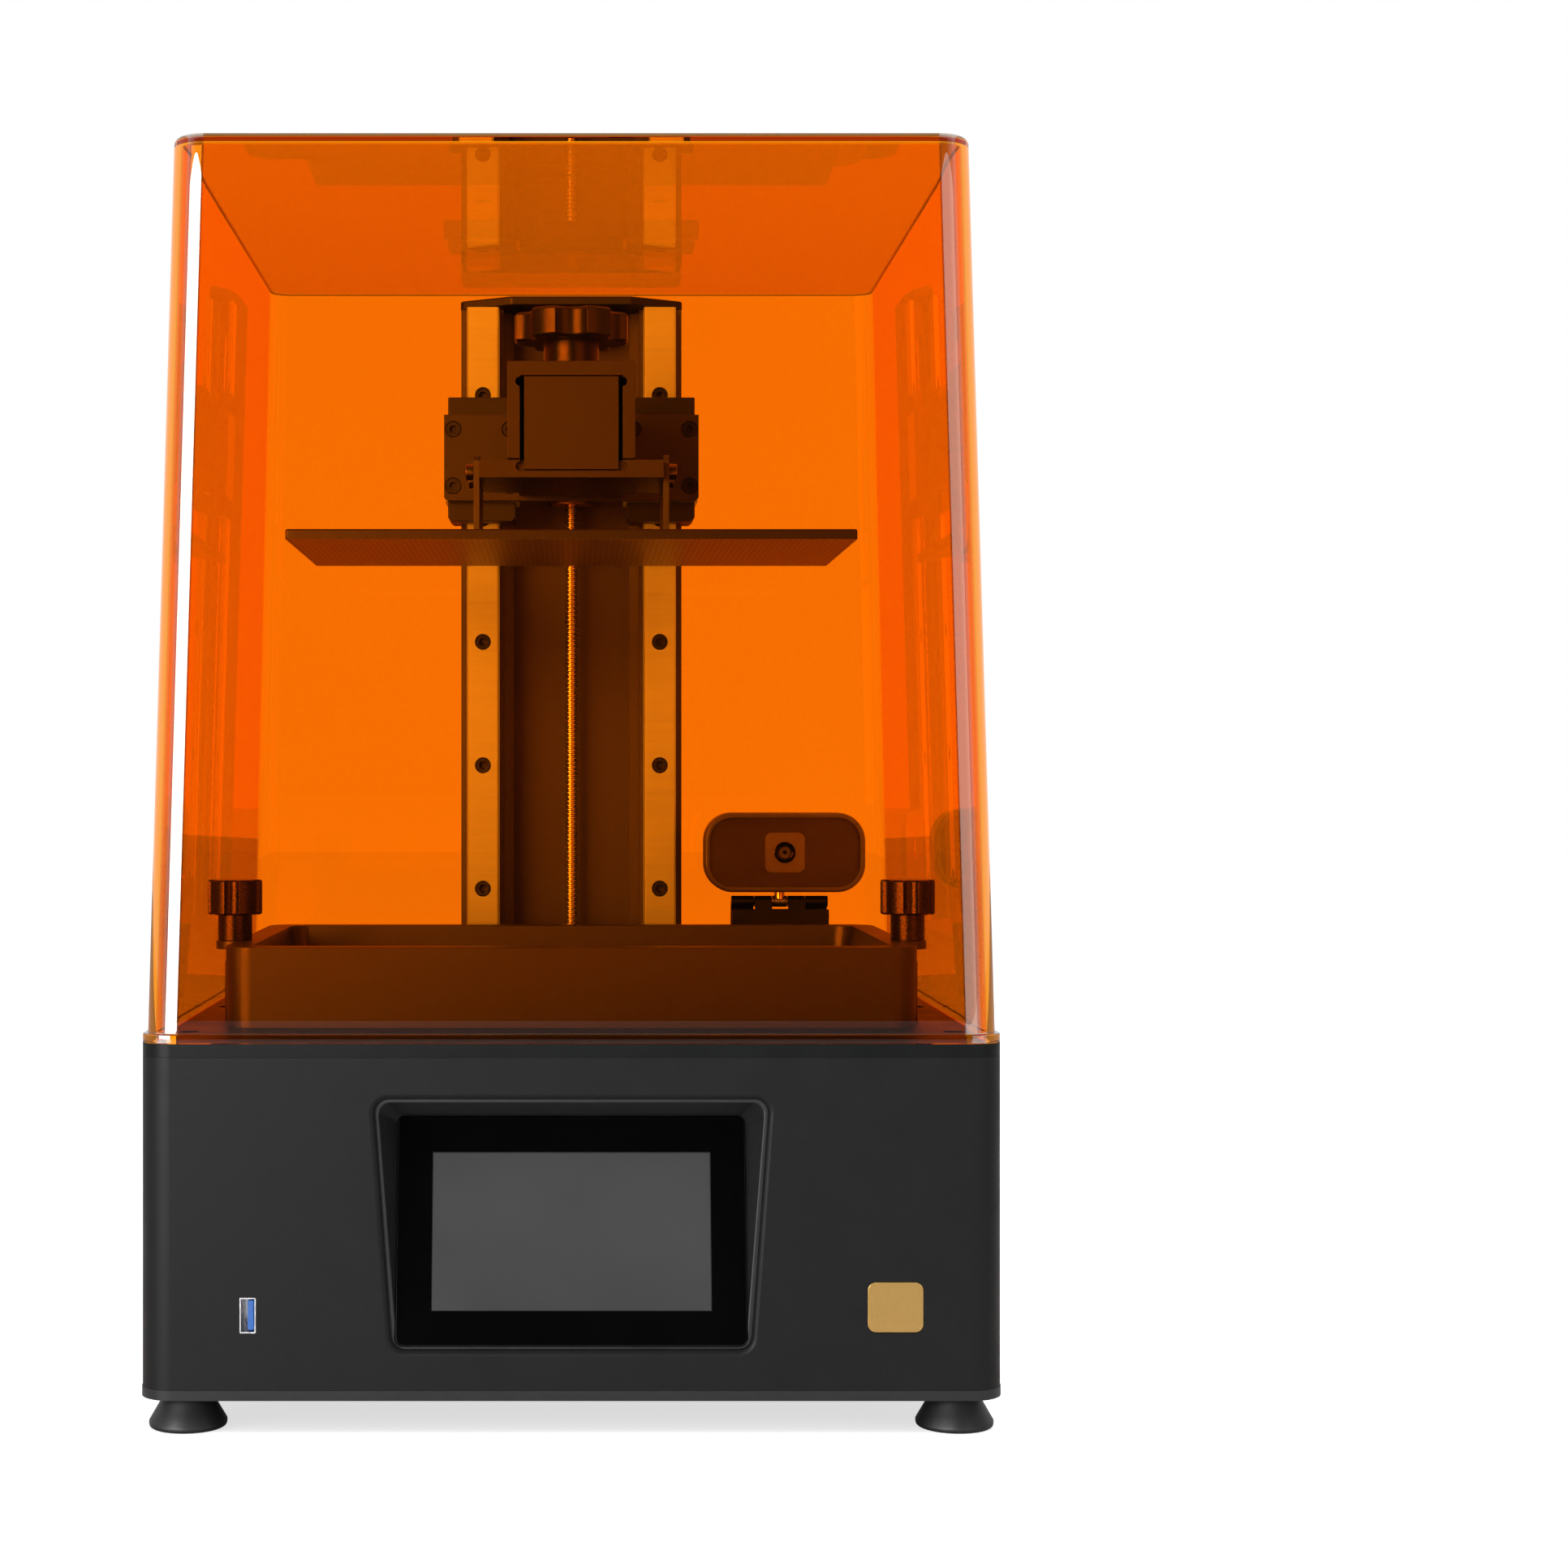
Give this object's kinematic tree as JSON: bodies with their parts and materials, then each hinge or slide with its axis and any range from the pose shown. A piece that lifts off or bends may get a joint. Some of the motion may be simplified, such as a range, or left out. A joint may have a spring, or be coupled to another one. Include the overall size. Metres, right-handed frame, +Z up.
{
  "type": "resin 3D printer",
  "caption": "Desktop resin 3D printer: base with tilted touch screen, rail-guided build plate over a resin vat, and a lift-off transparent amber cover.",
  "frame": {"origin": "on the floor under the middle of the base, at the underside of the feet", "axes": "+Z up, front with the touch screen towards -Y, +X to the viewer's right"},
  "size_m": [0.3172, 0.332, 0.4785],
  "materials": {
    "housing_paint": "satin powder coat",
    "trim_paint": "satin powder coat",
    "frame_paint": "satin powder coat",
    "foot_rubber": "matt",
    "black_steel": "black oxide",
    "black_plastic": "fine texture",
    "black_glass": "polished, black printed back",
    "screen_grey": "switched-off display",
    "plated_steel": "nickel plated",
    "blue_plastic": "moulded",
    "gold_plate": "polished",
    "lcd_glass": "polished",
    "white_plastic": "moulded",
    "board_green": "solder mask",
    "plain_aluminium": "extruded",
    "galvanised_steel": "galvanised",
    "black_anodised": "black anodised",
    "rail_steel": "ground",
    "motor_black": "satin",
    "screw_steel": "rolled thread",
    "green_plastic": "moulded",
    "brass": "turned",
    "leg_steel": "satin",
    "etched_aluminium": "laser-etched underside",
    "bright_screws": "plain",
    "knob_plastic": "moulded",
    "vat_anodised": "black anodised",
    "film_clear": "clear film",
    "thumb_metal": "black anodised",
    "amber_acrylic": "transparent amber",
    "camera_plastic": "satin",
    "camera_glass": "polished, dark",
    "lens_glass": "coated"
  },
  "bodies": {
    "housing": {"base_shell": "housing_paint", "bearing_block": "black_anodised", "bottom_plate": "trim_paint", "display_screen": "screen_grey", "feet": "foot_rubber", "front_badge": "gold_plate", "heat_sink": "plain_aluminium", "housing_screws": "black_steel", "lcd_panel": "lcd_glass", "led_array": "board_green", "light_funnel": "white_plastic", "mainboard": "board_green", "power_inlet": "black_plastic", "power_supply": "galvanised_steel", "rail_left": "rail_steel", "rail_right": "rail_steel", "rail_screws": "black_steel", "rear_fan_frame": "black_plastic", "rear_panel": "housing_paint", "screen_bezel": "black_plastic", "sink_fan": "black_plastic", "stand_leaf_front": "camera_plastic", "stand_pin": "plated_steel", "switch_housing": "black_plastic", "top_plate": "frame_paint", "touch_glass": "black_glass", "tower_cap": "black_plastic", "tower_column": "black_anodised", "usb_socket": "plated_steel", "usb_tongue": "blue_plastic", "vat_posts": "black_anodised", "z_motor": "motor_black"},
    "screw": {"lead_screw": "screw_steel"},
    "carriage": {"guide_block_left": "rail_steel", "guide_block_right": "rail_steel", "block_caps": "green_plastic", "carriage_plate": "black_anodised", "carriage_bolts": "black_steel", "nut_block": "black_anodised", "lead_nut": "brass", "lift_arm": "black_anodised"},
    "knob": {"clamp_knob": "knob_plastic"},
    "plate": {"plate_mount": "black_anodised", "plate_leg_left": "leg_steel", "plate_leg_right": "leg_steel", "build_plate": "etched_aluminium", "plate_screws": "bright_screws"},
    "vat": {"vat_frame": "vat_anodised", "film_ring": "vat_anodised", "vat_film": "film_clear"},
    "thumb_left": {"thumb_screw_left": "thumb_metal"},
    "thumb_right": {"thumb_screw_right": "thumb_metal"},
    "cover": {"cover": "amber_acrylic"},
    "rocker": {"power_rocker": "black_plastic"},
    "rear_fan": {"rear_fan_rotor": "black_plastic"},
    "camera_stem": {"webcam_stem": "plated_steel"},
    "camera_head": {"webcam_case": "camera_plastic", "webcam_face": "camera_glass", "webcam_lens": "lens_glass"},
    "stand_rear": {"stand_leaf_rear": "camera_plastic"}
  },
  "joints": [
    {"name": "z_slide", "type": "slide", "parent": "housing", "child": "carriage", "axis": [0, 0, 1], "range_m": [-0.19, 0.038]},
    {"name": "lead_screw_spin", "type": "hinge", "parent": "housing", "child": "screw", "pos_m": [0, 0.124, 0.3], "axis": [0, 0, 1], "continuous": true},
    {"name": "clamp_knob_turn", "type": "hinge", "parent": "carriage", "child": "knob", "pos_m": [0, -0.0225, 0.42], "axis": [0, 0, 1], "range_deg": [0, 540]},
    {"name": "plate_slide", "type": "slide", "parent": "carriage", "child": "plate", "axis": [0, -1, 0], "range_m": [0, 0.06]},
    {"name": "vat_lift", "type": "slide", "parent": "housing", "child": "vat", "axis": [0, 0, 1], "range_m": [0, 0.06]},
    {"name": "thumb_left_turn", "type": "hinge", "parent": "vat", "child": "thumb_left", "pos_m": [-0.1365, -0.058, 0.18], "axis": [0, 0, 1], "range_deg": [0, 720]},
    {"name": "thumb_right_turn", "type": "hinge", "parent": "vat", "child": "thumb_right", "pos_m": [0.1365, -0.058, 0.18], "axis": [0, 0, 1], "range_deg": [0, 720]},
    {"name": "cover_lift", "type": "slide", "parent": "housing", "child": "cover", "axis": [0, 0, 1], "range_m": [0, 0.345]},
    {"name": "power_switch", "type": "hinge", "parent": "housing", "child": "rocker", "pos_m": [-0.092, 0.1608, 0.095], "axis": [0, 0, 1], "range_deg": [0, 16]},
    {"name": "rear_fan_spin", "type": "hinge", "parent": "housing", "child": "rear_fan", "pos_m": [0.076, 0.155, 0.084], "axis": [0, 1, 0], "continuous": true},
    {"name": "camera_tilt", "type": "hinge", "parent": "housing", "child": "camera_stem", "pos_m": [0.097, 0.1, 0.183], "axis": [-1, 0, 0], "range_deg": [-20, 20]},
    {"name": "camera_swivel", "type": "hinge", "parent": "camera_stem", "child": "camera_head", "pos_m": [0.097, 0.1, 0.19], "axis": [0, 0, 1], "range_deg": [-35, 35]},
    {"name": "stand_hinge", "type": "hinge", "parent": "housing", "child": "stand_rear", "pos_m": [0.097, 0.1, 0.183], "axis": [1, 0, 0], "range_deg": [0, 30]}
  ],
  "couplings": [
    {"joint": "lead_screw_spin", "follows": "z_slide", "rad_per_m": -3141.6}
  ]
}
